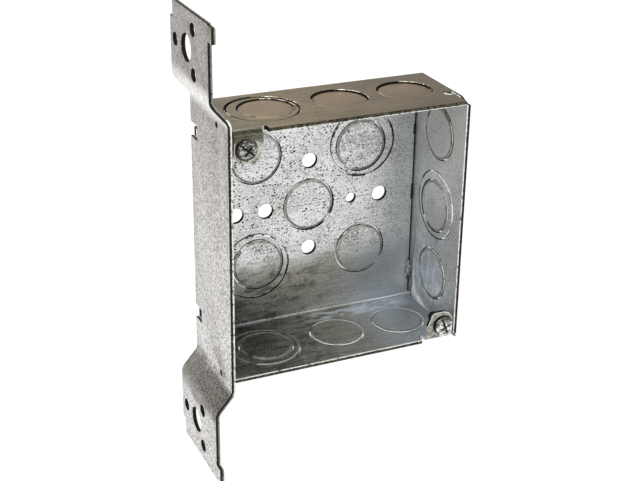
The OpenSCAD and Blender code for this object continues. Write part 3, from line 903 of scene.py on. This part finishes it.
def addScrew(name, node, turn, s, f):
    low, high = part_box(node)
    centre = Vector(((low.x + high.x) / 2, rimY, (low.z + high.z) / 2))
    # head: a disc whose front edge is rounded, with a slot and a cross cut into it
    bpy.ops.object.select_all(action="DESELECT")
    bpy.ops.mesh.primitive_cylinder_add(vertices=64, radius=s["head"], depth=s["headTall"],
                                        location=centre - Vector((0, s["headTall"] / 2, 0)),
                                        rotation=(math.pi / 2, 0, 0))
    head = bpy.context.active_object
    head.name = name
    settle(head)
    bevelWhere(head, s["round"], 7, lambda p: p.y < rimY - s["roundFrom"], profile=s["profile"])
    front = centre - Vector((0, s["headTall"], 0))
    cutWith(head, block((3 * s["head"], 2 * s["slotDeep"], s["slotWide"]), front, turn))
    for extra in (0, math.pi / 2):
        cutWith(head, crossCutter(s, front, turn + extra))
    softened = head.modifiers.new("softened", "BEVEL")
    softened.width = s["soft"]
    softened.segments = 2
    softened.limit_method = "ANGLE"
    softened.angle_limit = math.radians(38)
    only(head)
    bpy.ops.object.modifier_apply(modifier="softened")
    # shank with a point chamfer
    bpy.ops.object.select_all(action="DESELECT")
    bpy.ops.mesh.primitive_cylinder_add(vertices=32, radius=s["core"], depth=s["length"],
                                        location=centre + Vector((0, s["length"] / 2 - s["sunk"], 0)),
                                        rotation=(math.pi / 2, 0, 0))
    shank = bpy.context.active_object
    settle(shank)
    bevelWhere(shank, s["point"], 1, lambda p: p.y > rimY + s["pointFrom"])
    # thread: a small triangle carried along a helix
    bpy.ops.object.select_all(action="DESELECT")
    bpy.ops.mesh.primitive_circle_add(vertices=3, radius=s["wire"], fill_type="NOTHING",
                                      location=(s["thread"] - s["wire"], 0, 0),
                                      rotation=(math.pi / 2, 0, -math.pi / 2))
    thread = bpy.context.active_object
    settle(thread)
    tip = max(v.co.x for v in thread.data.vertices)
    for v in thread.data.vertices:
        v.co.x += s["thread"] - tip
    wind = thread.modifiers.new("wind", "SCREW")
    wind.axis = "Z"
    wind.screw_offset = s["pitch"]
    wind.iterations = s["turns"]
    wind.steps = wind.render_steps = 24
    bpy.ops.object.modifier_apply(modifier="wind")
    bpy.ops.object.mode_set(mode="EDIT")
    bpy.ops.mesh.select_mode(type="VERT")
    bpy.ops.mesh.select_all(action="SELECT")
    bpy.ops.mesh.remove_doubles(threshold=0.001 * mm)
    bpy.ops.mesh.select_all(action="DESELECT")
    bpy.ops.mesh.select_non_manifold()
    bpy.ops.mesh.edge_face_add()
    bpy.ops.mesh.select_all(action="SELECT")
    bpy.ops.mesh.normals_make_consistent(inside=False)
    bpy.ops.object.mode_set(mode="OBJECT")
    thread.rotation_euler = (-math.pi / 2, 0, 0)
    thread.location = centre + Vector((0, s["threadFrom"], 0))
    settle(thread)
    bpy.ops.object.select_all(action="DESELECT")
    for part in (thread, shank, head):
        part.select_set(True)
    bpy.context.view_layer.objects.active = head
    bpy.ops.object.join()
    settle(head)
    head.data.materials.clear()

    def recessed(p, n):
        # the walls and the bottom of the slot and the cross take the dirt
        away = Vector((p.x - centre.x, 0, p.z - centre.z))
        deep = front.y + s["recessFrom"] < p.y < rimY - s["recessTo"]
        inside = deep and away.length < s["head"] - s["rimWide"]
        return 1 if inside and n.dot(away.normalized()) < 0.3 else 0

    dress(head, (screwSteel(name + "Steel", f), recessDirt), recessed, 40)
    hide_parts(node)
    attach(head, "root")


addScrew("upperCoverScrew", "upper_cover_screw", math.radians(40), screwShape, screwFinish)
# the lower head is painted paler than the upper one, as painted light
lowerFinish = {**screwFinish, "colour": (0.88, 0.87, 0.85), "grimeFrom": 0.44}
addScrew("lowerCoverScrew", "lower_cover_screw", math.radians(68), screwShape, lowerFinish)
print("screws made")


# pale floor, sky and lamps
studio = {
    "floorZ": bracketLow.z - 0.4 * mm,
    "floorSize": 6,
    "floorColour": (0.80, 0.80, 0.79),
    "lift": 0.74,
    "skyLow": (0.95, 0.96, 0.98),
    "skyHigh": (0.30, 0.28, 0.26),
    "skyFade": (0.02, 0.75),
    "skyStrength": 0.9,
    "lamps": [
        # name, place, size, watts, colour
        ("keyLamp", (-0.7, -1.0, 1.1), 0.9, 17, (1.0, 0.98, 0.95)),
        ("fillLamp", (1.0, -1.1, 0.5), 1.2, 7, (0.92, 0.96, 1.0)),
        ("backLamp", (0.2, 0.9, 1.2), 1.0, 7, (1.0, 1.0, 1.0)),
    ],
}


def seenDirect(g):
    rays = g.make("ShaderNodeLightPath", out="Is Camera Ray")
    return g.most(g.most(rays, rays["Is Glossy Ray"]), rays["Is Transmission Ray"])


def addFloor(s):
    bpy.ops.object.select_all(action="DESELECT")
    bpy.ops.mesh.primitive_plane_add(size=s["floorSize"], location=(0, 0, s["floorZ"]))
    floor = bpy.context.active_object
    floor.name = "floor"
    mat = bpy.data.materials.new("floorPaint")
    g = Graph(mat)
    paint = g.make("ShaderNodeBsdfDiffuse", None, {"Color": s["floorColour"]})
    dim = g.make("ShaderNodeBsdfDiffuse", None, {"Color": tuple(c * 0.5 for c in s["floorColour"])})
    glow = g.make("ShaderNodeEmission", None, {"Color": (1, 1, 1), "Strength": s["lift"]})
    lifted = g.make("ShaderNodeAddShader", None, {0: dim, 1: glow})
    shown = g.make("ShaderNodeMixShader", None, {0: seenDirect(g), 1: paint, 2: lifted})
    g.make("ShaderNodeOutputMaterial", None, {"Surface": shown})
    floor.data.materials.append(mat)


def addWorld(s):
    world = bpy.data.worlds.new("studioWorld")
    bpy.context.scene.world = world
    g = Graph(world)
    way = g.make("ShaderNodeTexCoord", out="Generated")
    up = g.make("ShaderNodeSeparateXYZ", None, {"Vector": way}, "Z")
    sky = g.mix(g.band(up, *s["skyFade"]), s["skyLow"], s["skyHigh"])
    camera = g.make("ShaderNodeLightPath", out="Is Camera Ray")
    colour = g.mix(camera, sky, (1.0, 1.0, 1.0))
    back = g.make("ShaderNodeBackground", None, {"Color": colour, "Strength": s["skyStrength"]})
    g.make("ShaderNodeOutputWorld", None, {"Surface": back})


def addLamps(s):
    middle = Vector((0, rimY / 2, 0))
    for name, place, size, watts, colour in s["lamps"]:
        lamp = bpy.data.lights.new(name, "AREA")
        lamp.shape = "DISK"
        lamp.size = size
        lamp.energy = watts
        lamp.color = colour
        obj = bpy.data.objects.new(name, lamp)
        obj.location = place
        obj.rotation_euler = (middle - Vector(place)).to_track_quat("-Z", "Y").to_euler()
        bpy.context.scene.collection.objects.link(obj)


addFloor(studio)
addWorld(studio)
addLamps(studio)
bpy.context.scene.view_settings.view_transform = "Standard"
print("studio ready")
